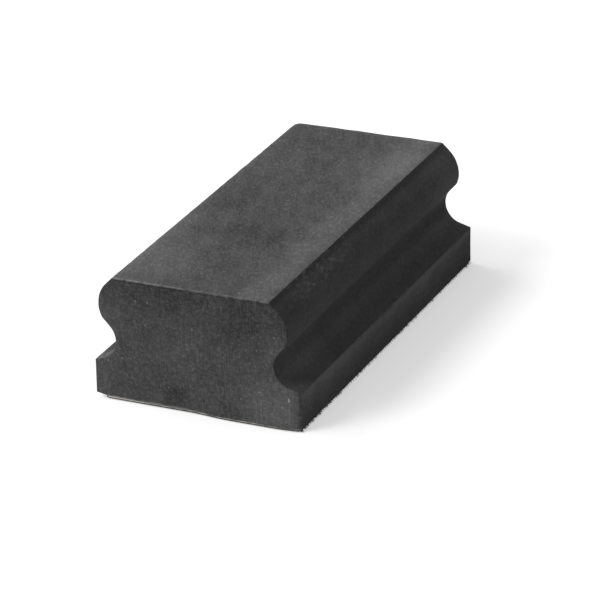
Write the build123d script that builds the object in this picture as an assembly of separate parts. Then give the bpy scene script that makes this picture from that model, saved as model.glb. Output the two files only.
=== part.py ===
"""Shaped hand sanding block: a cut foam grip with a hook sheet under its sole.

Millimetres, +Z up. The block lies along Y and stands on the hook sheet. The origin is the
middle of the sanding face, on the surface that the block rests on.
"""
from build123d import *
from math import cos, radians, sin
import os

# Overall sizes
BLOCK_LENGTH = 125.0
BASE_WIDTH = 68.0
FOAM_HEIGHT = 39.5
CORNER_RADIUS = 1.2           # upright corners of the base, rubbed round in use

# Base below the finger grooves
BASE_SIDE_HEIGHT = 11.6       # straight side of the foam, from the sole to the ledge's edge
LEDGE_SLOPE = 17.0            # degrees, falls towards the outside

# Finger grooves, one along each long side
GROOVE_RADIUS = 6.5
GROOVE_DEPTH = 5.0            # from the widest point of the bulge to the root of the groove
UNDERCUT_SLOPE = 48.0         # degrees, rises towards the outside, under the bulge

# Bulges that the palm and thumb close on
BULGE_INSET = 3.1             # from the side of the base to the widest point of the bulge
BULGE_RADIUS = 9.7
SHOULDER_SLOPE = 45.0         # degrees, falls from the top face's edge to the bulge
SHOULDER_LENGTH = 3.6

# Self-adhesive hook sheet under the foam
SHEET_WIDTH = 65.0
SHEET_THICKNESS = 1.0


def polar(angle, distance):
    """The step of a distance at an angle, in degrees, in the cross-section."""
    return Vector(cos(radians(angle)), sin(radians(angle))) * distance


def grip_blank():
    """Right half of the grip before its groove is cut: top face, shoulder, bulge and core."""
    bulge_x = BASE_WIDTH / 2 - BULGE_INSET - BULGE_RADIUS
    shoulder_drop = SHOULDER_LENGTH * sin(radians(SHOULDER_SLOPE))
    normal = 90 - SHOULDER_SLOPE
    shoulder_rise = BULGE_RADIUS * sin(radians(normal))
    centre = Vector(bulge_x, FOAM_HEIGHT - shoulder_drop - shoulder_rise)
    shoulder_end = centre + polar(normal, BULGE_RADIUS)
    top_edge = shoulder_end + polar(180 - SHOULDER_SLOPE, SHOULDER_LENGTH)
    bulge_end = centre + polar(-normal, BULGE_RADIUS)
    with BuildSketch() as blank:
        with BuildLine():
            Polyline((0, 0), (0, top_edge.Y), top_edge, shoulder_end)
            ThreePointArc(shoulder_end, centre + polar(0, BULGE_RADIUS), bulge_end)
            Polyline(bulge_end, (bulge_end.X, 0), (0, 0))
        make_face()
    return blank.sketch


def groove_root():
    """Centre of the round root of the right groove, seated on the slope of the ledge."""
    x = BASE_WIDTH / 2 - BULGE_INSET - GROOVE_DEPTH + GROOVE_RADIUS
    slope = radians(LEDGE_SLOPE)
    ledge_fall = (BASE_WIDTH / 2 - x) * sin(slope)
    return Vector(x, BASE_SIDE_HEIGHT + (GROOVE_RADIUS + ledge_fall) / cos(slope))


def groove_cutter():
    """The right groove: a wedge between ledge and undercut that opens outwards, round inside."""
    half_opening = (UNDERCUT_SLOPE + LEDGE_SLOPE) / 2
    middle = (UNDERCUT_SLOPE - LEDGE_SLOPE) / 2
    point = groove_root() - polar(middle, GROOVE_RADIUS / sin(radians(half_opening)))
    ledge_end = point + polar(-LEDGE_SLOPE, BASE_WIDTH)
    undercut_end = point + polar(UNDERCUT_SLOPE, BASE_WIDTH)
    with BuildSketch() as cutter:
        Polygon(point, ledge_end, undercut_end, align=None)
        fillet(cutter.vertices().sort_by(Axis.X)[0], GROOVE_RADIUS)
    return cutter.sketch


def foam_section():
    """The whole cross-section of the foam, with its sole on the X axis."""
    root_height = groove_root().Y
    with BuildSketch() as section:
        add(grip_blank())
        with Locations((BASE_WIDTH / 4, root_height / 2)):
            Rectangle(BASE_WIDTH / 2, root_height)
        add(groove_cutter(), mode=Mode.SUBTRACT)
        mirror(about=Plane.YZ)
    return section.sketch


def plan_outline(width):
    """A rectangle as long as the block, flush with its right side, with rounded corners."""
    with BuildSketch() as outline:
        with Locations(((BASE_WIDTH - width) / 2, 0)):
            RectangleRounded(width, BLOCK_LENGTH, CORNER_RADIUS)
    return outline.sketch


def foam_block():
    """Foam cut to the section along its length, with the upright corners of the base rounded."""
    far_end = Plane.XZ.offset(-BLOCK_LENGTH / 2) * Pos(0, SHEET_THICKNESS)
    length = extrude(far_end * foam_section(), BLOCK_LENGTH)
    plan = extrude(plan_outline(BASE_WIDTH), SHEET_THICKNESS + FOAM_HEIGHT)
    return length & plan


def hook_sheet():
    """Hook sheet stuck to the sole, narrower than the block and flush at its right side."""
    return extrude(plan_outline(SHEET_WIDTH), SHEET_THICKNESS)


os.makedirs("parts", exist_ok=True)
export_step(foam_block(), "parts/foam_block.step")
export_step(hook_sheet(), "parts/hook_sheet.step")
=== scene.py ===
"""Shaped hand sanding block: a foam grip with a finger groove along each side, on a hook sheet.

Metres, +Z up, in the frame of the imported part. The block lies along Y and stands on its hooks.
Run in Blender 4.5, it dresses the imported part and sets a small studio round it.
"""
import random
from math import atan2, cos, pi, radians, sin

import bmesh
import bpy
from bpy.props import FloatProperty, FloatVectorProperty, IntProperty, PointerProperty
from mathutils import Matrix, Vector


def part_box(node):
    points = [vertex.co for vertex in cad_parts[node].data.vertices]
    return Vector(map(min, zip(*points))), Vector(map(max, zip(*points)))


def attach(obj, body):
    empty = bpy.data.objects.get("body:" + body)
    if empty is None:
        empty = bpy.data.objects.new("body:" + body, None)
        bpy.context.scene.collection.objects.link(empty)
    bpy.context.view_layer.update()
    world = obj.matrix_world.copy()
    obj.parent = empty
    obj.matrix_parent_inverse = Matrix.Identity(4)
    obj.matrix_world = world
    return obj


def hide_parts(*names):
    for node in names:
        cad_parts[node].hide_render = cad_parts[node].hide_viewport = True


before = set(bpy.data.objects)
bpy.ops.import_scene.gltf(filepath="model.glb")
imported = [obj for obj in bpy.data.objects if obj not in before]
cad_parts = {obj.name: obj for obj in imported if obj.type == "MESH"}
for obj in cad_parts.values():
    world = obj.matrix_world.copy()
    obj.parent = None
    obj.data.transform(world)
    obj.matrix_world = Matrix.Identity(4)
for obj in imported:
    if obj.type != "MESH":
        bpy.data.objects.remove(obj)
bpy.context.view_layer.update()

bl_info = {
    "name": "Shaped Sanding Block",
    "version": (1, 0, 0),
    "blender": (4, 5, 0),
    "location": "View3D > Sidebar > Sanding Block",
    "description": "Dresses a shaped foam sanding block with a hook sheet and lights it",
    "category": "Add Mesh",
}

MM = 0.001
TINY = 0.01 * MM  # slack when points are told apart by their place
MERGED = 0.002 * MM  # points nearer than this become one
GRIP_LOW, GRIP_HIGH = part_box("foam_block")
SHEET_LOW, SHEET_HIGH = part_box("hook_sheet")


def linear(code):
    """The linear red, green and blue of an sRGB hex colour."""
    parts = [int(code[i : i + 2], 16) / 255 for i in (0, 2, 4)]
    return [p / 12.92 if p <= 0.04045 else ((p + 0.055) / 1.055) ** 2.4 for p in parts]


def rgba(colour):
    """A colour property as a shader socket takes it."""
    return (*colour, 1.0)


# Sizes, colours and light that a user would change


class GripSizes(bpy.types.PropertyGroup):
    """Cross-section and edges of the foam grip."""

    shoulder: FloatProperty(
        name="Shoulder", default=3.6 * MM, unit="LENGTH",
        description="Length of the 45 degree shoulder beside the top face",
    )
    bulge_inset: FloatProperty(
        name="Bulge inset", default=3.1 * MM, unit="LENGTH",
        description="From the side of the base to the widest point of the bulge",
    )
    bulge_radius: FloatProperty(
        name="Bulge radius", default=9.7 * MM, unit="LENGTH",
        description="Radius of the bulge that the palm and thumb close on",
    )
    groove_radius: FloatProperty(
        name="Groove radius", default=6.5 * MM, unit="LENGTH",
        description="Radius of the root of the finger groove",
    )
    groove_depth: FloatProperty(
        name="Groove depth", default=5.0 * MM, unit="LENGTH",
        description="From the widest point of the bulge to the root of the groove",
    )
    side_height: FloatProperty(
        name="Side height", default=11.6 * MM, unit="LENGTH",
        description="Straight side of the base, from the sole to the edge of the ledge",
    )
    ledge_slope: FloatProperty(
        name="Ledge slope", default=radians(17), unit="ROTATION",
        description="Fall of the ledge towards the outside",
    )
    undercut_slope: FloatProperty(
        name="Undercut slope", default=radians(48), unit="ROTATION",
        description="Rise of the undercut towards the outside",
    )
    corner_radius: FloatProperty(
        name="Corner radius", default=1.2 * MM, unit="LENGTH",
        description="Right front corner of the base, rubbed round in use",
    )
    sharp_radius: FloatProperty(
        name="Sharp corner radius", default=0.5 * MM, unit="LENGTH",
        description="The other three upright corners of the base, nearly as they were cut",
    )
    lean: FloatProperty(
        name="Lean", default=0.5 * MM, unit="LENGTH",
        description="How far the ledges' edges stand to the right, where the cut is out of square",
    )
    worn_edge: FloatProperty(
        name="Worn edge", default=0.8 * MM, unit="LENGTH",
        description="Height by which the left edge of the sole is worn off",
    )
    worn_reach: FloatProperty(
        name="Worn reach", default=4.0 * MM, unit="LENGTH",
        description="How far that wear reaches in from the left edge",
    )
    swell: FloatProperty(
        name="Swell", default=0.9 * MM, unit="LENGTH",
        description="How far the foot of the front end stands out, where the saw wandered",
    )
    swell_reach: FloatProperty(
        name="Swell reach", default=13.0 * MM, unit="LENGTH",
        description="How far that swelling reaches up and to both sides",
    )
    swell_place: FloatProperty(
        name="Swell place", default=17.0 * MM, unit="LENGTH",
        description="Middle of the swelling, to the right of the block's middle",
    )
    worn_corner: FloatProperty(
        name="Worn corner", default=2.2 * MM, unit="LENGTH",
        description="How far the far left corner of the top is worn round",
    )
    edge_radius: FloatProperty(
        name="Edge radius", default=0.18 * MM, unit="LENGTH",
        description="Softening of every cut edge of the foam",
    )
    facet: FloatProperty(
        name="Facet size", default=1.0 * MM, unit="LENGTH",
        description="Spacing of the mesh that carries the unevenness of the cut",
    )
    unevenness: FloatProperty(
        name="Unevenness", default=0.16 * MM, unit="LENGTH",
        description="Height of the waves that the cutter leaves in soft foam",
    )


class HookSizes(bpy.types.PropertyGroup):
    """Self-adhesive hook sheet under the sole."""

    adhesive: FloatProperty(
        name="Adhesive film", default=0.35 * MM, unit="LENGTH",
        description="Thickness of the pale adhesive film between foam and hook sheet",
    )
    film_inset: FloatProperty(
        name="Film inset", default=0.4 * MM, unit="LENGTH",
        description="From the long edges of the sheet to the edge of the adhesive film",
    )
    backing: FloatProperty(
        name="Backing", default=0.3 * MM, unit="LENGTH",
        description="Thickness of the nylon web that carries the hooks",
    )
    ragged: FloatProperty(
        name="Ragged edge", default=0.3 * MM, unit="LENGTH",
        description="How far the long cut edges of the web wander in and out",
    )
    pitch: FloatProperty(
        name="Hook pitch", default=1.3 * MM, unit="LENGTH",
        description="Spacing of the hooks in a row",
    )
    margin: FloatProperty(
        name="Side margin", default=0.2 * MM, unit="LENGTH",
        description="From the long edges of the sheet to the outermost hooks",
    )
    end_margin: FloatProperty(
        name="End margin", default=0.9 * MM, unit="LENGTH",
        description="From the ends of the sheet to the outermost hooks",
    )
    thickness: FloatProperty(
        name="Hook thickness", default=0.18 * MM, unit="LENGTH",
        description="Diameter of one nylon hook",
    )
    crook: FloatProperty(
        name="Crook radius", default=0.11 * MM, unit="LENGTH",
        description="Radius of the bend at the end of a hook",
    )
    tufts: IntProperty(
        name="Torn tufts", default=80, min=0,
        description="Tufts of torn nylon that stand out of the long cut edges",
    )
    strands: IntProperty(
        name="Strands", default=4, min=1,
        description="Torn strands in one tuft",
    )
    seed: IntProperty(
        name="Seed", default=11,
        description="Start of the random draws for lean and length",
    )


class Finishes(bpy.types.PropertyGroup):
    """Colours of the materials."""

    foam: FloatVectorProperty(
        name="Foam", subtype="COLOR", default=linear("363535"), min=0, max=1,
        description="Black foam as cut",
    )
    # Also the colour of the painted light that lies among the dust
    dust: FloatVectorProperty(
        name="Foam dust", subtype="COLOR", default=linear("7a7a7a"), min=0, max=1,
        description="Foam where fine dust from the cut lies in the open cells",
    )
    # Also the colour of the painted highlight along the top front arris
    torn: FloatVectorProperty(
        name="Torn foam", subtype="COLOR", default=linear("b4b4b4"), min=0, max=1,
        description="Foam torn open at arrises, in nicks and in loose crumbs",
    )
    nylon: FloatVectorProperty(
        name="Nylon", subtype="COLOR", default=linear("2b2827"), min=0, max=1,
        description="Black nylon of the hooks and their web",
    )
    adhesive: FloatVectorProperty(
        name="Adhesive", subtype="COLOR", default=linear("d6d1ce"), min=0, max=1,
        description="Pale acrylic adhesive film seen at its edge",
    )
    adhesive_dirt: FloatVectorProperty(
        name="Adhesive dirt", subtype="COLOR", default=linear("6e6a68"), min=0, max=1,
        description="Adhesive film where dust has stuck to it",
    )


class StageSettings(bpy.types.PropertyGroup):
    """Floor, lamps and camera."""

    floor_size: FloatProperty(
        name="Floor size", default=12.0, unit="LENGTH",
        description="Side of the square floor",
    )
    floor_lit: FloatVectorProperty(
        name="Floor", subtype="COLOR", default=linear("d6d6d6"), min=0, max=1,
        description="Pale floor as it lights the block from below",
    )
    floor_shown: FloatVectorProperty(
        name="Floor shown", subtype="COLOR", default=linear("f4f4f4"), min=0, max=1,
        description="Floor as it shows, white where the lamps reach it",
    )
    floor_glow: FloatProperty(
        name="Floor glow", default=0.43, min=0,
        description="Light added to the floor as it shows, which keeps its shadow pale",
    )
    key: FloatProperty(
        name="Key light", default=2.03,
        description="Strength of the large soft lamp, high on the left and in front",
    )
    key_spread: FloatProperty(
        name="Key spread", default=radians(27), unit="ROTATION",
        description="Angle that each panel of the lamp fills as seen from the block",
    )
    fill: FloatProperty(
        name="Fill light", default=0.375,
        description="Strength of the light from the walls of the studio",
    )
    azimuth: FloatProperty(
        name="Azimuth", default=radians(26.96), unit="ROTATION",
        description="Camera's turn about the block, from straight in front to the right",
    )
    elevation: FloatProperty(
        name="Elevation", default=radians(25.19), unit="ROTATION",
        description="Camera's height above the horizon",
    )
    roll: FloatProperty(
        name="Roll", default=radians(-3.147), unit="ROTATION",
        description="Camera's tilt about its own line of sight",
    )
    distance: FloatProperty(
        name="Distance", default=1087.6 * MM, unit="LENGTH",
        description="From the camera to the point that it looks at",
    )
    lens: FloatProperty(
        name="Focal length", default=212.7,
        description="Camera's focal length on a 36 mm sensor, in millimetres",
    )
    aim: FloatVectorProperty(
        name="Aim", unit="LENGTH", default=(4.16 * MM, -0.39 * MM, 10.25 * MM),
        description="Point that the camera looks at, from the middle of the sanding face",
    )


# Modelling

ARC_STEP = 0.55 * MM  # longest facet on an arc of the cross-section
SWELL_HALF = 9 * MM  # the swelling is full this far to both sides of its middle
END_SLACK = 0.3 * MM  # how far the rounding of an end's edges reaches in
CUT_ANGLE = radians(25)  # faces that meet at more than this were cut apart
SMOOTH_ANGLE = radians(35)
GRIP_WAVES = 5 * MM
WEB_WAVES = 0.9 * MM
LAYER_STEPS = (3 * MM, 0.6 * MM)  # facets of film and web, across and along the block


def add_alone(name, operator, **size):
    """Adds a primitive with nothing else selected, and puts its place into its mesh."""
    bpy.ops.object.select_all(action="DESELECT")
    operator(**size)
    piece = bpy.context.object
    piece.name = piece.data.name = name
    bpy.ops.object.transform_apply(location=True, rotation=True, scale=True)
    return piece


def edit(piece):
    """Opens a piece in edit mode with all of it selected."""
    bpy.context.view_layer.objects.active = piece
    bpy.ops.object.mode_set(mode="EDIT")
    bpy.ops.mesh.select_mode(type="VERT")
    bpy.ops.mesh.select_all(action="SELECT")


def close(piece):
    """Leaves edit mode with every face pointing outwards."""
    bpy.ops.mesh.select_all(action="SELECT")
    bpy.ops.mesh.remove_doubles(threshold=MERGED)
    bpy.ops.mesh.normals_make_consistent(inside=False)
    bpy.ops.object.mode_set(mode="OBJECT")


def pick(piece, kind, test):
    """Selects the vertices or edges of the open mesh that pass a test, and no others."""
    bpy.ops.mesh.select_mode(type={"verts": "VERT", "edges": "EDGE"}[kind])
    bpy.ops.mesh.select_all(action="DESELECT")
    mesh = bmesh.from_edit_mesh(piece.data)
    for part in getattr(mesh, kind):
        part.select_set(test(part))
    mesh.select_flush_mode()
    bmesh.update_edit_mesh(piece.data)


def draw_out(x, y, z):
    """Extrudes what is selected by a step."""
    bpy.ops.mesh.extrude_region_move(TRANSFORM_OT_translate={"value": (x, y, z)})


def pull(step, falloff, reach):
    """Moves what is selected by a step, and what is within reach by less and less."""
    bpy.ops.transform.translate(
        value=step,
        use_proportional_edit=True,
        proportional_edit_falloff=falloff,
        proportional_size=reach,
    )


def swing(centre, turn, radius):
    """Spins the selected end of the outline round a centre; a positive turn is anticlockwise."""
    steps = max(6, round(abs(turn) * radius / ARC_STEP))
    middle = (centre[0], GRIP_LOW[1], centre[1])
    bpy.ops.mesh.spin(steps=steps, angle=turn, center=middle, axis=(0, 1, 0))


def slice_up(axis, low, high, step):
    """Cuts the whole open mesh by evenly spaced planes across an axis."""
    normal = [float(axis == i) for i in range(3)]
    count = round((high - low) / step)
    for i in range(1, count):
        place = [n * (low + (high - low) * i / count) for n in normal]
        bpy.ops.mesh.select_all(action="SELECT")
        bpy.ops.mesh.bisect(plane_co=place, plane_no=normal)


def grip_outline(sizes):
    """Traces the right half of the cross-section from the top's middle down to the sole."""
    side = GRIP_HIGH[0]
    drop = sizes.shoulder * sin(radians(45))
    reach = sizes.bulge_radius * sin(radians(45))
    bulge = Vector((side - sizes.bulge_inset - sizes.bulge_radius, GRIP_HIGH[2] - drop - reach))
    root_x = side - sizes.bulge_inset - sizes.groove_depth + sizes.groove_radius
    fall = (side - root_x) * sin(sizes.ledge_slope)
    ledge_edge = GRIP_LOW[2] + sizes.side_height
    root_z = ledge_edge + (sizes.groove_radius + fall) / cos(sizes.ledge_slope)
    root = Vector((root_x, root_z))

    # Where the bulge meets the undercut: the undercut's line cut with the bulge's circle
    along = Vector((cos(sizes.undercut_slope), sin(sizes.undercut_slope)))
    across = Vector((-along.y, along.x))
    into_groove = root + across * sizes.groove_radius
    offset = (into_groove - bulge).dot(across)
    reach_out = (sizes.bulge_radius**2 - offset**2) ** 0.5
    corner = bulge + across * offset + along * reach_out
    corner_angle = atan2(corner.y - bulge.y, corner.x - bulge.x)

    top_edge = bulge + Vector((reach - drop, reach + drop))
    draw_out(top_edge.x, 0, 0)
    draw_out(drop, 0, -drop)
    swing(bulge, corner_angle - radians(45), sizes.bulge_radius)
    undercut = into_groove - corner
    draw_out(undercut.x, 0, undercut.y)
    swing(root, pi - sizes.undercut_slope - sizes.ledge_slope, sizes.groove_radius)
    square_to_ledge = Vector((sin(sizes.ledge_slope), cos(sizes.ledge_slope)))
    ledge_start = root - square_to_ledge * sizes.groove_radius
    draw_out(side - ledge_start.x, 0, ledge_edge - ledge_start.y)
    draw_out(0, 0, GRIP_LOW[2] - ledge_edge)
    draw_out(-side, 0, 0)


def swell_foot(piece, sizes):
    """Draws out the foot of the open mesh's front end, on the foam and what is stuck to it."""

    def at_foot(vert):
        at_end = vert.co.y < GRIP_LOW[1] + END_SLACK and vert.co.z < GRIP_LOW[2] + TINY
        return at_end and abs(vert.co.x - sizes.swell_place) < SWELL_HALF

    pick(piece, "verts", at_foot)
    pull((0, -sizes.swell, 0), "SMOOTH", sizes.swell_reach)


def is_cut(edge):
    """Whether two cut faces meet along an edge, above the sole."""
    on_sole = max(v.co.z for v in edge.verts) < GRIP_LOW[2] + TINY
    return edge.calc_face_angle(0) > CUT_ANGLE and not on_sole


def shape_grip(sizes):
    """The foam grip: its outline traced, mirrored, leaned and drawn along Y, then worn by use."""
    start = (0, GRIP_LOW[1], GRIP_HIGH[2])
    upright = (radians(90), 0, 0)
    plane = bpy.ops.mesh.primitive_plane_add
    grip = add_alone("foam_grip", plane, size=MM, location=start, rotation=upright)
    edit(grip)
    bpy.ops.mesh.merge(type="CENTER")
    grip_outline(sizes)

    bpy.ops.mesh.select_all(action="SELECT")
    bpy.ops.mesh.duplicate()
    bpy.ops.transform.resize(value=(-1, 1, 1), center_override=(0, 0, 0))
    bpy.ops.mesh.select_all(action="SELECT")
    bpy.ops.mesh.remove_doubles(threshold=MERGED)
    side = GRIP_HIGH[0] - MM
    pick(grip, "verts", lambda v: abs(v.co.x) > side and v.co.z > GRIP_LOW[2] + MM)
    bpy.ops.transform.translate(value=(sizes.lean, 0, 0))
    bpy.ops.mesh.select_all(action="SELECT")
    bpy.ops.mesh.edge_face_add()
    draw_out(0, GRIP_HIGH[1] - GRIP_LOW[1], 0)
    bpy.ops.mesh.select_all(action="SELECT")
    bpy.ops.mesh.normals_make_consistent(inside=False)

    # The upright corners of the base are rounded first, the rubbed one most, then the worn corner
    # of the top and every edge that the cutter left
    def base_corner(edge):
        a, b = (v.co for v in edge.verts)
        return min(abs(a.x), abs(b.x)) > side and abs(a.z - b.z) > MM

    def rubbed(edge):
        corner = edge.verts[0].co
        return base_corner(edge) and corner.x > 0 > corner.y

    pick(grip, "edges", rubbed)
    bpy.ops.mesh.bevel(offset=sizes.corner_radius, segments=6, affect="EDGES")
    pick(grip, "edges", lambda edge: base_corner(edge) and not rubbed(edge))
    bpy.ops.mesh.bevel(offset=sizes.sharp_radius, segments=4, affect="EDGES")
    pick(grip, "verts", lambda v: v.co.x < 0 and (v.co - GRIP_HIGH).yz.length < TINY)
    bpy.ops.mesh.bevel(offset=sizes.worn_corner, segments=4, affect="VERTICES")
    pick(grip, "edges", is_cut)
    bpy.ops.mesh.bevel(offset=sizes.edge_radius, segments=3, affect="EDGES", clamp_overlap=True)
    slice_up(2, GRIP_LOW[2], GRIP_HIGH[2], sizes.facet)
    slice_up(0, -GRIP_HIGH[0], GRIP_HIGH[0], sizes.facet)
    slice_up(1, GRIP_LOW[1], GRIP_HIGH[1], sizes.facet)

    # The left edge of the sole is worn off, and the foot of the front end stands out
    pick(grip, "verts", lambda v: v.co.x < TINY - GRIP_HIGH[0] and v.co.z < GRIP_LOW[2] + TINY)
    pull((0, 0, sizes.worn_edge), "LINEAR", sizes.worn_reach)
    swell_foot(grip, sizes)
    close(grip)
    return grip


def repeat(piece, name, count, step):
    """Copies a piece in a row by an array that is applied."""
    array = piece.modifiers.new(name, "ARRAY")
    array.count = count
    array.use_relative_offset = False
    array.use_constant_offset = True
    array.constant_offset_displace = step
    bpy.ops.object.modifier_apply(modifier=name)


def roughen(piece, height, size, direction="NORMAL"):
    """Moves a piece's surface in and out by soft waves of a given height and size."""
    waves = bpy.data.textures.new(piece.name + "_waves", "CLOUDS")
    waves.noise_scale = size
    waves.noise_depth = 1
    modifier = piece.modifiers.new("waves", "DISPLACE")
    modifier.texture = waves
    modifier.texture_coords = "LOCAL"
    modifier.strength = height
    modifier.direction = direction
    modifier.mid_level = 0.6  # about the clouds' usual level, which stays in place
    bpy.ops.object.modifier_apply(modifier=modifier.name)


def smooth(piece):
    """Smooth shading between faces that meet at a shallow angle, which leaves flat faces flat."""
    bpy.ops.object.select_all(action="DESELECT")
    piece.select_set(True)
    bpy.context.view_layer.objects.active = piece
    bpy.ops.object.shade_smooth_by_angle(angle=SMOOTH_ANGLE)
    modifier = piece.modifiers.new("large_faces_first", "WEIGHTED_NORMAL")
    modifier.keep_sharp = True
    bpy.ops.object.modifier_apply(modifier=modifier.name)


# Materials

MATH = "ShaderNodeMath"
VECTOR_MATH = "ShaderNodeVectorMath"
MAPPING = "ShaderNodeMapping"
RAMP = "ShaderNodeMapRange"
NOISE = "ShaderNodeTexNoise"
AXES = "ShaderNodeSeparateXYZ"
MIX = "ShaderNodeMix"
COORDINATES = "ShaderNodeTexCoord"
PRINCIPLED = "ShaderNodeBsdfPrincipled"
DIFFUSE = "ShaderNodeBsdfDiffuse"
OUTPUT = "ShaderNodeOutputMaterial"


def new_material(name):
    """An empty material and its node tree."""
    made = bpy.data.materials.new(name)
    made.use_nodes = True
    made.node_tree.nodes.clear()
    return made, made.node_tree


def add_node(tree, kind, inputs=(), **settings):
    """Adds a node with its settings and links.

    The inputs are a tuple in the order of the sockets in use, or a dict by socket name. Each is
    a value, an output socket, or another node, which gives its first output in use.
    """
    made = tree.nodes.new(kind)
    for name, value in settings.items():
        setattr(made, name, value)
    in_use = [socket for socket in made.inputs if socket.enabled]
    named = inputs if isinstance(inputs, dict) else dict(enumerate(inputs))
    for key, value in named.items():
        socket = in_use[key] if isinstance(key, int) else next(s for s in in_use if s.name == key)
        if isinstance(value, bpy.types.Node):
            value = next(output for output in value.outputs if output.enabled)
        if isinstance(value, bpy.types.NodeSocket):
            tree.links.new(value, socket)
        else:
            socket.default_value = value
    return made


def away_from(tree, along, place):
    """How far a point is from a place on an axis."""
    offset = add_node(tree, MATH, (along, place), operation="SUBTRACT")
    return add_node(tree, MATH, (offset,), operation="ABSOLUTE")


# Pale dust on the foam, with painted light and shade among it, in millimetres from the middle of
# the sanding face, for the faces that look up, to the ends, straight sideways and on a slant:
# first the level all over
TOP, SOLE, END = GRIP_HIGH[2] / MM, GRIP_LOW[2] / MM, GRIP_HIGH[1] / MM
DUST_LEVELS = {"up": 0.36, "ends": 0.31, "upright": 0.08, "slanting": 0.1}
# Bands along the block, each as the axis across it, its middle, half width and amount
DUST_AND_LIGHT_BANDS = {
    "up": (("X", 20, 9, 0.24), ("X", -27, 7, 0.14)),  # out of the palm's way along the right edge; a painted highlight along the left edge, where the light from the left grazes it
    "ends": (  # painted shade towards the top, and less dust at the rubbed right corner
        ("Z", 40, 12, -0.14),
        ("X", 35, 5.5, -0.22),
        ("X", -31, 7, 0.07),
    ),
    "upright": (("Z", 10.5, 9, 0.15), ("Z", 11.5, 3, 0.15)),  # up the side of the base
    "slanting": (("Z", 37.5, 2.5, 0.04), ("Z", 15, 8, 0.11)),  # shoulder, and groove to ledge
}
# Clouds of dust and of painted light and shade: x, y, z, radius and amount, which is negative
# where the foam is darker
DUST_AND_LIGHT_CLOUDS = {
    "up": (
        (-26, -46, TOP, 30, 0.32),
        (-25, -20, TOP, 14, 0.12),
        (20, 38, TOP, 24, 0.22),
        (1, -20, TOP, 16, -0.15),
        (-16, 0, TOP, 13, -0.12),
        (-16, 30, TOP, 14, 0.08),
        (18, 60, TOP, 12, 0.1),
        (-6, -38, TOP, 10, -0.11),
    ),
    # On the front end these clouds paint light and shade: lighter at the foot on the right, darker
    # high up
    "ends": (
        (28, -END, 4, 20, 0.3),
        (-34, -END, 22, 14, 0.2),
        (28, -END, 25, 8, 0.1),
        (-8, -END, 33, 16, -0.06),
        (16, -END, 30, 12, -0.16),
        (-5, -END, 20, 14, 0.05),
        (-7, -END, 4, 7, -0.2),
        (11, -END, 3, 7, -0.08),
    ),
    "upright": ((34, -46, 10, 26, 0.08), (34, 56, 10, 22, -0.1), (31, 56, 32, 22, 0.12)),
    "slanting": (
        (-32, -END, 14, 7, 0.6),
        (27, -46, 19, 16, 0.14),
        (27, 52, 18, 14, 0.04),
        (31, 56, 34, 26, 0.13),
        (31, -58, 35, 9, -0.1),
    ),
}
# Strips along the edges of the top: the face, the axis across, the edge, the strip's full and
# faded reach, and the amount
EDGE_STRIPS = (
    # painted shade: a dark line on the ends just under the top edge, which rolls over
    ("ends", "Z", TOP, 0.6, 1.4, -0.08),
    ("slanting", "Z", TOP, 0.7, 2.0, -0.13),
    ("up", "Y", END, 0.5, 2.5, 0.14),
    # painted highlight along the left edge of the top, where the light from the left grazes it
    ("up", "X", -25.5, 0.3, 1.5, 0.12),
)
# Nicks in the front end, upright as the saw went: x, z, half length and depth from 0 to 1
NICKS = (
    (30.4, 9.9, 0.4, 0.8),
    (30.5, 5.0, 2.4, 0.12),
    (19.8, 4.4, 3.2, 0.08),
    (21.4, 5.2, 3.6, 0.12),
    (23.1, 4.0, 2.4, 0.07),
    (2.9, 27.0, 2.4, 0.1),
    (1.3, 19.5, 2.0, 0.12),
    (-18.3, 34.1, 0.1, 0.4),
    (-14.3, 34.2, 0.1, 0.35),
    (-29.0, 13.1, 0.1, 0.5),
)
# Chips where the foam has torn out: x, y, z, radius and depth
CHIPS = (
    (-1, 5.5, TOP, 0.5, 0.35),
    (13, -24, TOP, 0.5, 0.25),
    (25.7, -13, 39.7, 0.6, 0.3),
    (34, 20.5, 8.3, 0.8, 0.25),
    (34, -56, 5, 0.8, 0.1),
)
# Scuffed places: x, y, z, reach and strength
SCUFFS = ((27.5, -32, 37, 13, 0.22), (-32, -END, 13.5, 8, 0.6))
# Sizes of the patterns, in millimetres, and how far those drawn out are stretched
CELL, CELL_STRETCH, CELLS_ASKEW = 0.9, 2.3, radians(27)
SAW_LINE, SAW_STRETCH, SAW_PATCH = 0.5, 10, 8
MOTTLE, BREAK, CRUMB, SMEAR, SMEAR_STRETCH = 4, 2.5, 3, 1.1, 2
DRIFT_WAVE, DRIFT = 9, 8
USUAL_GRAIN = 0.14  # the grain's mean once it is cubed


def facing_masks(tree, place):
    """How far a point is on the top, the ends, an upright side or a slanting one, 0 to 1.

    The top and the ends together are the sawn faces.
    """
    normal = add_node(tree, "ShaderNodeNewGeometry").outputs["Normal"]
    look = add_node(tree, AXES, (normal,)).outputs
    up = add_node(tree, RAMP, (look["Z"], 0.75, 0.95))
    # The ledges look up too, so the top is told from them by its height
    height = add_node(tree, AXES, (place,)).outputs["Z"]
    at_top = add_node(tree, RAMP, (height, TOP - 2, TOP - 1))
    up = add_node(tree, MATH, (up, at_top), operation="MULTIPLY")
    lengthways = add_node(tree, MATH, (look["Y"],), operation="ABSOLUTE")
    ends = add_node(tree, RAMP, (lengthways, 0.1, 0.6))
    sideways = add_node(tree, MATH, (look["X"],), operation="ABSOLUTE")
    upright = add_node(tree, RAMP, (sideways, 0.8, 0.98))
    slanting = 1.0
    for other in (up, ends, upright):
        slanting = add_node(tree, MATH, (slanting, other), operation="SUBTRACT", use_clamp=True)
    sawn = add_node(tree, MATH, (up, ends), operation="ADD")
    return {"up": up, "ends": ends, "upright": upright, "slanting": slanting, "sawn": sawn}


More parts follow.
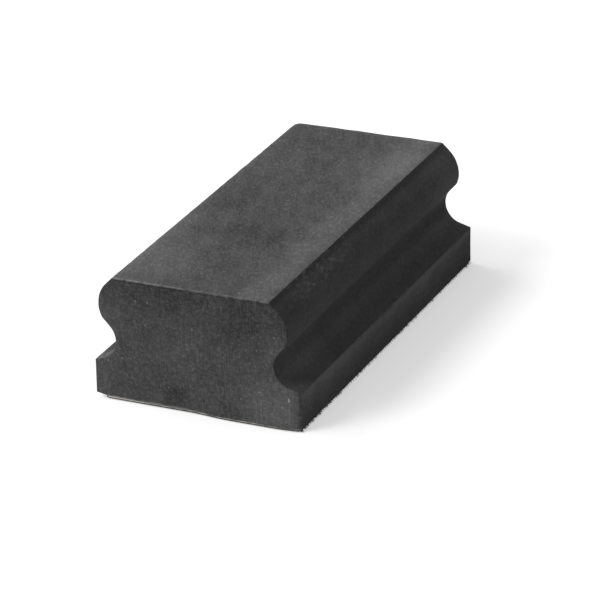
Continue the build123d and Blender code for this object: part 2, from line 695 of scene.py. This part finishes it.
def dust_and_painted_light(tree, place, masks):
    """Dust, and painted light and shade, in bands and clouds that drift a few millimetres to and
    fro.
    """
    waves = add_node(tree, NOISE, {"Vector": place, "Scale": 1 / DRIFT_WAVE, "Detail": 3.0})
    waves = waves.outputs["Color"]
    offset = add_node(tree, VECTOR_MATH, (waves, (0.5,) * 3), operation="SUBTRACT")
    drift = add_node(tree, VECTOR_MATH, (offset, (DRIFT,) * 3, place), operation="MULTIPLY_ADD")
    axes = add_node(tree, AXES, (drift,)).outputs
    dust = 0.0
    for face, amount in DUST_LEVELS.items():
        patches = []
        for axis, middle, half, extra in DUST_AND_LIGHT_BANDS[face]:
            patches.append((away_from(tree, axes[axis], middle), half, extra))
        for x, y, z, radius, extra in DUST_AND_LIGHT_CLOUDS[face]:
            away = add_node(tree, VECTOR_MATH, (drift, (x, y, z)), operation="DISTANCE")
            patches.append((away, radius, extra))
        for away, reach, extra in patches:
            fade = (away, 0, reach, extra, 0)
            soft = add_node(tree, RAMP, fade, interpolation_type="SMOOTHSTEP")
            amount = add_node(tree, MATH, (amount, soft), operation="ADD")
        dust = add_node(tree, MATH, (amount, masks[face], dust), operation="MULTIPLY_ADD")
    return dust


def edge_strips_of_dust_and_light(tree, place, masks, dust):
    """Darker strips below the edges of the top and lighter ones along them; the one on the ends
    under the top edge is painted shade, and the one along the left edge of the top a painted
    highlight.
    """
    axes = add_node(tree, AXES, (place,)).outputs
    for face, axis, edge, start, end, amount in EDGE_STRIPS:
        away = away_from(tree, axes[axis], edge)
        strip = add_node(tree, RAMP, (away, start, end, amount, 0))
        dust = add_node(tree, MATH, (strip, masks[face], dust), operation="MULTIPLY_ADD")
    return dust


def cut_cells(tree, place, masks, dust):
    """The grain of the cut: the height of the cells, and the dust that fills them.

    Real cells are 0.3 mm across. They are drawn 0.45 to 0.9 mm across, and over twice as long,
    askew along the block, so that they show on the top at a low angle.
    """
    askew = add_node(
        tree,
        MAPPING,
        {"Vector": place, "Rotation": (0, 0, CELLS_ASKEW), "Scale": (1, CELL_STRETCH, 1)},
        vector_type="TEXTURE",
    )
    octaves = {"Scale": 1 / CELL, "Detail": 1.0, "Roughness": 1.0}
    grain = add_node(tree, NOISE, {"Vector": askew, **octaves})
    # Lines of the saw on the ends, 0.5 mm apart and some 5 mm long, in patches of 8 mm
    upright = add_node(tree, MAPPING, {"Vector": place, "Scale": (1, 1, 1 / SAW_STRETCH)})
    lines = add_node(tree, NOISE, {"Vector": upright, "Scale": 1 / SAW_LINE, "Detail": 1.0})
    patches = add_node(tree, NOISE, {"Vector": place, "Scale": 1 / SAW_PATCH, "Detail": 1.0})
    depth = add_node(tree, RAMP, (patches, 0.4, 0.62, 0.15, 0.5))
    depth = add_node(tree, MATH, (depth, masks["ends"]), operation="MULTIPLY")
    lines = add_node(tree, MATH, (lines, 0.5), operation="SUBTRACT")
    lines = add_node(tree, MATH, (lines, depth, dust), operation="MULTIPLY_ADD")
    # A soft mottle, half as strong on the ends as on the top and a quarter as strong elsewhere
    mottle = add_node(tree, NOISE, {"Vector": askew, "Scale": 1 / MOTTLE, "Detail": 2.0})
    mottle = add_node(tree, RAMP, (mottle, 0, 1, -0.07, 0.07))
    on_top = add_node(tree, MATH, (masks["up"], 2.6, masks["ends"]), operation="MULTIPLY_ADD")
    on_top = add_node(tree, MATH, (on_top, 0.8), operation="ADD")
    mottled = add_node(tree, MATH, (mottle, on_top, lines), operation="MULTIPLY_ADD")
    # The sawn top and ends show their cells far more than the milled sides. Cubing the grain
    # makes a few of the cells much fuller of dust than the rest
    strength = add_node(tree, MATH, (dust, 0.6, 0.25), operation="MULTIPLY_ADD")
    strength = add_node(tree, MATH, (masks["sawn"], 0.6, strength), operation="MULTIPLY_ADD")
    cells = add_node(tree, MATH, (grain, 3.0), operation="POWER")
    cells = add_node(tree, MATH, (cells, USUAL_GRAIN), operation="SUBTRACT")
    dust = add_node(
        tree, MATH, (cells, strength, mottled), operation="MULTIPLY_ADD", use_clamp=True
    )
    return grain, dust


def spot(tree, place, middle, radius, most):
    """A round spot, strongest within a quarter of its radius, that fades towards its rim."""
    away = add_node(tree, VECTOR_MATH, (place, middle), operation="DISTANCE")
    return add_node(tree, RAMP, (away, radius / 4, radius, most, 0))


def torn_foam_and_highlight(tree, place, masks):
    """Pale marks: a painted highlight along the top arris of the front end, torn foam along its
    foot, nicks of the front end, crumbs, chips and scuffs.
    """
    axes = add_node(tree, AXES, (place,)).outputs
    # Lines 0.4 mm wide along the arrises over and under the front end, brightest on the left and
    # broken every few millimetres. The one over it is a painted highlight, where the rounded edge
    # catches the light
    breaks = add_node(tree, NOISE, {"Vector": place, "Scale": 1 / BREAK, "Detail": 2.0})
    breaks = add_node(tree, RAMP, (breaks, 0.35, 0.6, 0.2, 1))
    behind = away_from(tree, axes["Y"], -END)
    torn = 0.0
    for height, left, right in ((TOP, 0.42, 0.2), (SOLE, 0.5, 0.25)):
        above = away_from(tree, axes["Z"], height)
        away = add_node(tree, MATH, (above, behind), operation="MAXIMUM")
        line = add_node(tree, RAMP, (away, 0.3, 0.5, 1, 0))
        fade = add_node(tree, RAMP, (axes["X"], -24, 20, left, right))
        line = add_node(tree, MATH, (line, fade), operation="MULTIPLY")
        torn = add_node(tree, MATH, (line, breaks, torn), operation="MULTIPLY_ADD")
    # Nicks 0.4 mm wide
    nicks = 0.0
    for x, z, half, depth in NICKS:
        across = away_from(tree, axes["X"], x)
        along = add_node(tree, MATH, (away_from(tree, axes["Z"], z), half), operation="SUBTRACT")
        away = add_node(tree, MATH, (across, along), operation="MAXIMUM")
        nick = add_node(tree, RAMP, (away, 0.05, 0.3, depth, 0))
        nicks = add_node(tree, MATH, (nicks, nick), operation="MAXIMUM")
    nicks = add_node(tree, MATH, (nicks, masks["ends"]), operation="MULTIPLY")
    front = add_node(tree, MATH, (axes["Y"], 0.5 - END), operation="LESS_THAN")
    nicks = add_node(tree, MATH, (nicks, front), operation="MULTIPLY")
    torn = add_node(tree, MATH, (torn, nicks), operation="MAXIMUM")
    # Crumbs some 3 mm apart, each as bright as chance has it, and fewest on the milled sides
    cells = add_node(tree, "ShaderNodeTexVoronoi", {"Vector": place, "Scale": 1 / CRUMB})
    crumbs = add_node(tree, RAMP, (cells, 0.05, 0.13, 1, 0))
    tone = add_node(tree, "ShaderNodeSeparateColor", (cells.outputs["Color"],))
    tone = add_node(tree, MATH, (tone, 2.0), operation="POWER")
    crumbs = add_node(tree, MATH, (crumbs, tone), operation="MULTIPLY")
    amount = add_node(tree, RAMP, (masks["sawn"], 0, 1, 0.12, 0.36))
    crumbs = add_node(tree, MATH, (crumbs, amount), operation="MULTIPLY")
    torn = add_node(tree, MATH, (torn, crumbs), operation="MAXIMUM")
    for x, y, z, radius, depth in CHIPS:
        chip = spot(tree, place, (x, y, z), radius, depth)
        torn = add_node(tree, MATH, (torn, chip), operation="MAXIMUM")
    # Smears a millimetre across where a slanting face has been scuffed
    drawn_out = add_node(tree, MAPPING, {"Vector": place, "Scale": (1, 1 / SMEAR_STRETCH, 1)})
    smears = add_node(tree, NOISE, {"Vector": drawn_out, "Scale": 1 / SMEAR, "Detail": 2.0})
    smears = add_node(tree, RAMP, (smears, 0.52, 0.8))
    smears = add_node(tree, MATH, (smears, masks["slanting"]), operation="MULTIPLY")
    for x, y, z, reach, most in SCUFFS:
        scuff = spot(tree, drawn_out, (x, y / SMEAR_STRETCH, z), reach, most)
        scuff = add_node(tree, MATH, (scuff, smears), operation="MULTIPLY")
        torn = add_node(tree, MATH, (torn, scuff), operation="MAXIMUM")
    return torn


def foam_material(colours):
    """Closed-cell EVA foam, milled along its length and sawn across at its ends.

    The cut foam is black and matt. Its open cells give it a fine grain, and pale dust from the
    cut lies in them in soft clouds, most of it on the top. Painted light and shade lie in those
    clouds too.
    """
    made, tree = new_material("eva_foam_cut")
    place = add_node(tree, COORDINATES).outputs["Object"]
    place = add_node(tree, MAPPING, {"Vector": place, "Scale": (1 / MM,) * 3})
    masks = facing_masks(tree, place)
    dust = dust_and_painted_light(tree, place, masks)
    dust = edge_strips_of_dust_and_light(tree, place, masks, dust)
    grain, dust = cut_cells(tree, place, masks, dust)
    torn = torn_foam_and_highlight(tree, place, masks)
    # The dust mask carries painted light and shade as well as dust
    dusted_and_lit = {"Factor": dust, "A": rgba(colours.foam), "B": rgba(colours.dust)}
    dusted_and_lit = add_node(tree, MIX, dusted_and_lit, data_type="RGBA")
    # The torn mask carries the painted highlight along the top front arris as well
    colour = {"Factor": torn, "A": dusted_and_lit, "B": rgba(colours.torn)}
    colour = add_node(tree, MIX, colour, data_type="RGBA")
    bump = add_node(
        tree, "ShaderNodeBump", {"Height": grain, "Strength": 0.25, "Distance": 0.2 * MM}
    )
    shader = add_node(
        tree,
        PRINCIPLED,
        {"Base Color": colour, "Roughness": 0.9, "Specular IOR Level": 0.1, "Normal": bump},
    )
    add_node(tree, OUTPUT, {"Surface": shader})
    return made


def nylon_material(colours):
    """Extruded black nylon, with a dull gloss that varies along each hook."""
    made, tree = new_material("nylon_extruded")
    place = add_node(tree, COORDINATES).outputs["Object"]
    streaks = add_node(tree, NOISE, {"Vector": place, "Scale": 1 / MM, "Detail": 2.0})
    gloss = add_node(tree, RAMP, (streaks, 0, 1, 0.4, 0.6))
    shader = add_node(
        tree,
        PRINCIPLED,
        {
            "Base Color": rgba(colours.nylon),
            "Roughness": gloss,
            "IOR": 1.53,
            "Specular IOR Level": 0.2,
        },
    )
    add_node(tree, OUTPUT, {"Surface": shader})
    return made


def adhesive_material(colours):
    """Acrylic adhesive film, pale and dull, grey where dust has stuck to its cut edge."""
    made, tree = new_material("adhesive_acrylic")
    place = add_node(tree, COORDINATES).outputs["Object"]
    # Dust sticks in dashes of 2 to 3 mm; the film is paler towards its left end, where the dashes
    # fade out
    dirt = add_node(tree, NOISE, {"Vector": place, "Scale": 1 / (2.5 * MM), "Detail": 3.0})
    dirt = add_node(tree, RAMP, (dirt, 0.3, 0.6, 0.3, 1))
    left = add_node(tree, AXES, (place,)).outputs["X"]
    paler_to_the_left = add_node(tree, RAMP, (left, SHEET_LOW[0], SHEET_LOW[0] + 20 * MM))
    dirt = add_node(tree, MATH, (dirt, paler_to_the_left), operation="MULTIPLY")
    colour = {"Factor": dirt, "A": rgba(colours.adhesive), "B": rgba(colours.adhesive_dirt)}
    colour = add_node(tree, MIX, colour, data_type="RGBA")
    shader = add_node(tree, PRINCIPLED, {"Base Color": colour, "Roughness": 0.6})
    add_node(tree, OUTPUT, {"Surface": shader})
    return made


# Operators


class SANDBLOCK_OT_grip(bpy.types.Operator):
    """Model the foam grip and give it its foam"""

    bl_idname = "sandblock.grip"
    bl_label = "Foam Grip"

    def execute(self, context):
        sizes = context.scene.sandblock_grip
        colours = context.scene.sandblock_finish
        grip = shape_grip(sizes)
        roughen(grip, sizes.unevenness, GRIP_WAVES)
        grip.data.materials.append(foam_material(colours))
        smooth(grip)
        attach(grip, "root")
        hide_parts("foam_block")
        return {"FINISHED"}


class SANDBLOCK_OT_hook_sheet(bpy.types.Operator):
    """Model the adhesive film and the web that carries the hooks"""

    bl_idname = "sandblock.hook_sheet"
    bl_label = "Hook Sheet"

    def execute(self, context):
        sizes = context.scene.sandblock_hooks
        grip = context.scene.sandblock_grip
        colours = context.scene.sandblock_finish
        top = SHEET_HIGH[2]
        film = self.layer("adhesive_film", top, sizes.adhesive, sizes.film_inset, grip)
        film.data.materials.append(adhesive_material(colours))
        web = self.layer("hook_web", top - sizes.adhesive, sizes.backing, sizes.ragged, grip)
        web.data.materials.append(nylon_material(colours))
        roughen(web, sizes.ragged, WEB_WAVES, direction="X")
        for layer in (film, web):
            smooth(layer)
            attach(layer, "root")
        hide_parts("hook_sheet")
        return {"FINISHED"}

    def layer(self, name, high, thickness, inset, grip):
        """A thin layer, set in from the sheet's long edges, that follows the foam at its foot."""
        middle = (SHEET_LOW + SHEET_HIGH) / 2
        middle.z = high - thickness / 2
        extent = SHEET_HIGH - SHEET_LOW - Vector((2 * inset, 0, 0))
        extent.z = thickness
        cube = bpy.ops.mesh.primitive_cube_add
        piece = add_alone(name, cube, size=1, location=middle, scale=extent)
        edit(piece)
        pick(piece, "edges", lambda e: abs(e.verts[0].co.z - e.verts[1].co.z) > thickness / 2)
        bpy.ops.mesh.bevel(offset=grip.corner_radius, segments=5, affect="EDGES")
        for axis in (1, 0):
            slice_up(axis, SHEET_LOW[axis], SHEET_HIGH[axis], LAYER_STEPS[axis])
        swell_foot(piece, grip)
        close(piece)
        return piece


# How hooks and torn strands vary: one standard deviation, in degrees
HOOK_LEAN, HOOK_TWIST, STRAND_SPREAD = 7, 14, 30
BENT_OUT = 10  # degrees that the outermost hooks lean out
CROOK_TURN = radians(150)
HOOK_TIP = 0.6  # thickness of a hook's tip as a share of its stem
FLOOR_GAP = 0.01 * MM  # between the crooks and the floor, before the hooks lean
STRAND_RADIUS, STRAND_STEP = 0.08 * MM, 0.25 * MM  # a strand is three steps long
STRAND_TAPER = 0.75  # thickness from step to step
STRAND_LENGTHS = (0.5, 1.15)  # the shortest and the longest, as shares of those three steps
STRAND_HEIGHTS = (0.15, 0.6)  # millimetres from the floor to the roots
STRAND_CURL = 0.5  # most bend up or down, per millimetre
TUFT_WIDTH = 0.25  # one standard deviation, in millimetres
ROOT_DEPTH = 0.35 * MM  # from the edge of the sheet to the roots
ON_THE_RIGHT = 0.75  # share of the tufts
TO_THE_FRONT = 1.4  # power over 1 that crowds the tufts towards the front


class SANDBLOCK_OT_hooks(bpy.types.Operator):
    """Model one nylon hook, copy it over the web and add tufts of torn nylon at its edges"""

    bl_idname = "sandblock.hooks"
    bl_label = "Hooks"

    def execute(self, context):
        sizes = context.scene.sandblock_hooks
        draw = random.Random(sizes.seed)
        field = self.hook_field(sizes, draw)
        tufts = self.torn_tufts(sizes, draw)
        nylon = bpy.data.materials["nylon_extruded"]
        for piece in (field, tufts):
            piece.data.materials.append(nylon)
            smooth(piece)
            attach(piece, "root")
        return {"FINISHED"}

    def one_hook(self, sizes, x, y, top):
        """A stem down from the web, then a crook spun round a point beside it, tapered."""
        radius, crook = sizes.thickness / 2, sizes.crook
        circle = bpy.ops.mesh.primitive_circle_add
        root = (x, y, top)
        hook = add_alone(
            "hooks", circle, vertices=4, radius=radius, fill_type="NGON", location=root
        )
        stem_end = crook + radius + FLOOR_GAP
        edit(hook)
        draw_out(0, 0, stem_end - top)
        pivot = (x + crook, y, stem_end)
        bpy.ops.mesh.spin(steps=3, angle=CROOK_TURN, center=pivot, axis=(0, 1, 0))
        bpy.ops.transform.resize(value=(HOOK_TIP,) * 3)
        close(hook)
        return hook

    def hook_field(self, sizes, draw):
        """Rows of hooks that face left and right by turns; those at the edges are bent out."""
        margin = Vector((sizes.margin, sizes.end_margin, 0))
        low, high = SHEET_LOW + margin, SHEET_HIGH - margin
        top = SHEET_HIGH[2] - sizes.adhesive - sizes.backing / 2
        columns = round((high.x - low.x) / sizes.pitch) + 1
        rows = round((high.y - low.y) / sizes.pitch) + 1
        step_x, step_y = (high.x - low.x) / (columns - 1), (high.y - low.y) / (rows - 1)
        hook = self.one_hook(sizes, low.x, low.y, top)
        corners = len(hook.data.vertices)
        repeat(hook, "columns", columns, (step_x, 0, 0))
        repeat(hook, "rows", rows, (0, step_y, 0))
        points = hook.data.vertices
        for i in range(columns * rows):
            row, column = divmod(i, columns)
            root = Vector((low.x + column * step_x, low.y + row * step_y, top))
            out = (column == 0) - (column == columns - 1)
            lean_x = Matrix.Rotation(radians(draw.gauss(0, HOOK_LEAN)), 3, "X")
            lean_y = Matrix.Rotation(radians(draw.gauss(BENT_OUT * out, HOOK_LEAN)), 3, "Y")
            facing = 180 * (column % 2) + draw.gauss(0, HOOK_TWIST)
            turn = Matrix.Rotation(radians(facing), 3, "Z")
            for point in points[i * corners : (i + 1) * corners]:
                place = root + lean_y @ lean_x @ turn @ (point.co - root)
                place.z = max(place.z, 0)
                point.co = place
        hook.data.update()
        return hook

    def torn_tufts(self, sizes, draw):
        """Tufts of torn nylon at the long cut edges, most on the right and near the front."""
        circle = bpy.ops.mesh.primitive_circle_add
        level = (0, radians(90), 0)
        strand = add_alone(
            "torn_tufts", circle, vertices=3, radius=STRAND_RADIUS, fill_type="NGON", rotation=level
        )
        edit(strand)
        for _ in range(3):
            draw_out(STRAND_STEP, 0, 0)
            bpy.ops.transform.resize(value=(1, STRAND_TAPER, STRAND_TAPER))
        close(strand)
        corners = len(strand.data.vertices)
        copies = sizes.tufts * sizes.strands
        repeat(strand, "copies", copies, (0, 0, 0))
        points = strand.data.vertices
        sheet_length = SHEET_HIGH[1] - SHEET_LOW[1]
        for i in range(copies):
            if i % sizes.strands == 0:
                side = 1 if draw.random() < ON_THE_RIGHT else -1
                edge = SHEET_HIGH[0] if side > 0 else -SHEET_LOW[0]
                along = SHEET_LOW[1] + sheet_length * draw.random() ** TO_THE_FRONT
                length = draw.uniform(*STRAND_LENGTHS)
            aside = draw.gauss(0, TUFT_WIDTH) * MM
            height = draw.uniform(*STRAND_HEIGHTS) * MM
            root = Vector((side * (edge - ROOT_DEPTH), along + aside, height))
            spread = Matrix.Rotation(radians(draw.gauss(0, STRAND_SPREAD)), 3, "Z")
            curl = draw.uniform(-STRAND_CURL, STRAND_CURL) / MM
            for point in points[i * corners : (i + 1) * corners]:
                place = point.co * length
                place.z += curl * place.x**2
                place = spread @ place
                point.co = root + Vector((side * place.x, place.y, place.z))
                point.co.z = max(point.co.z, 0)
        strand.data.update()
        return strand


# Ways to the three panels of the lamp, high on the left: beside the block and further forward
PANELS = ((-0.88, 0.1, 1.0), (-0.88, -0.62, 1.0), (-0.88, -0.95, 1.0))
SENSOR = 36.0  # millimetres


class SANDBLOCK_OT_stage(bpy.types.Operator):
    """Set the floor, the lamps, the studio walls and the camera"""

    bl_idname = "sandblock.stage"
    bl_label = "Studio"

    def execute(self, context):
        settings = context.scene.sandblock_stage
        self.lay_floor(settings)
        self.hang_lamps(context, settings)
        self.paint_walls(context, settings)
        self.place_camera(context, settings)
        context.scene.view_settings.view_transform = "Standard"
        return {"FINISHED"}

    def shown_rays(self, tree):
        """1 for rays that show the background: straight, mirrored or through glass."""
        rays = add_node(tree, "ShaderNodeLightPath").outputs
        shown = rays["Is Camera Ray"]
        for other in ("Is Glossy Ray", "Is Transmission Ray"):
            shown = add_node(tree, MATH, (shown, rays[other]), operation="MAXIMUM")
        return shown

    def lay_floor(self, settings):
        """A pale floor that shows white where it is lit and keeps the block's shadow."""
        floor = add_alone("floor", bpy.ops.mesh.primitive_plane_add, size=settings.floor_size)
        edit(floor)
        bpy.ops.mesh.subdivide(number_cuts=5)
        bpy.ops.object.mode_set(mode="OBJECT")
        paper, tree = new_material("paper_background")
        shown = self.shown_rays(tree)
        matt = add_node(tree, DIFFUSE, {"Color": rgba(settings.floor_lit)})
        pale = add_node(tree, DIFFUSE, {"Color": rgba(settings.floor_shown)})
        glow = add_node(tree, "ShaderNodeEmission", {"Strength": settings.floor_glow})
        both = add_node(tree, "ShaderNodeAddShader", (pale, glow))
        mixed = add_node(tree, "ShaderNodeMixShader", (shown, matt, both))
        add_node(tree, OUTPUT, {"Surface": mixed})
        floor.data.materials.append(paper)

    def hang_lamps(self, context, settings):
        """The soft panels of the lamp, which share its strength."""
        for panel in PANELS:
            lamp = bpy.data.lights.new("softbox", "SUN")
            lamp.energy = settings.key / len(PANELS)
            lamp.angle = settings.key_spread
            softbox = bpy.data.objects.new("softbox", lamp)
            softbox.rotation_mode = "QUATERNION"
            softbox.rotation_quaternion = Vector(panel).to_track_quat("Z", "Y")
            context.scene.collection.objects.link(softbox)

    def paint_walls(self, context, settings):
        """Pale walls: dim as a light, and white where the camera sees them."""
        world = bpy.data.worlds.new("studio_walls")
        world.use_nodes = True
        tree = world.node_tree
        tree.nodes.clear()
        shown = self.shown_rays(tree)
        strength = add_node(tree, RAMP, (shown, 0, 1, settings.fill, 1.0))
        white = (1, 1, 1, 1)
        walls = add_node(tree, "ShaderNodeBackground", {"Color": white, "Strength": strength})
        add_node(tree, "ShaderNodeOutputWorld", {"Surface": walls})
        context.scene.world = world

    def place_camera(self, context, settings):
        """A long lens a little above the block, off its right front corner."""
        view = bpy.data.cameras.new("camera")
        view.lens = settings.lens
        view.sensor_width = SENSOR
        camera = bpy.data.objects.new("camera", view)
        turn = Matrix.Rotation(settings.azimuth, 4, "Z")
        tilt = Matrix.Rotation(pi / 2 - settings.elevation, 4, "X")
        roll = Matrix.Rotation(settings.roll, 4, "Z")
        back = turn @ tilt @ Vector((0, 0, settings.distance))
        camera.matrix_world = Matrix.Translation(Vector(settings.aim) + back) @ turn @ tilt @ roll
        context.scene.collection.objects.link(camera)
        context.scene.camera = camera


class SANDBLOCK_PT_panel(bpy.types.Panel):
    """The steps in the order in which they are taken, each over a group of settings."""

    bl_idname = "SANDBLOCK_PT_panel"
    bl_label = "Sanding Block"
    bl_space_type = "VIEW_3D"
    bl_region_type = "UI"
    bl_category = "Sanding Block"

    def draw(self, context):
        for operator, name, group in STEPS:
            box = self.layout.box()
            box.operator(operator.bl_idname)
            for setting in group.__annotations__:
                box.prop(getattr(context.scene, name), setting)


STEPS = (
    (SANDBLOCK_OT_grip, "sandblock_grip", GripSizes),
    (SANDBLOCK_OT_hook_sheet, "sandblock_finish", Finishes),
    (SANDBLOCK_OT_hooks, "sandblock_hooks", HookSizes),
    (SANDBLOCK_OT_stage, "sandblock_stage", StageSettings),
)


def register():
    """Registers the settings, the operators and the panel."""
    for operator, name, group in STEPS:
        bpy.utils.register_class(group)
        setattr(bpy.types.Scene, name, PointerProperty(type=group))
        bpy.utils.register_class(operator)
    bpy.utils.register_class(SANDBLOCK_PT_panel)


def unregister():
    """Takes them away again."""
    bpy.utils.unregister_class(SANDBLOCK_PT_panel)
    for operator, name, group in reversed(STEPS):
        bpy.utils.unregister_class(operator)
        delattr(bpy.types.Scene, name)
        bpy.utils.unregister_class(group)


def main():
    """Makes every piece in order."""
    register()
    bpy.ops.sandblock.grip()
    bpy.ops.sandblock.hook_sheet()
    bpy.ops.sandblock.hooks()
    bpy.ops.sandblock.stage()


if __name__ == "__main__":
    main()
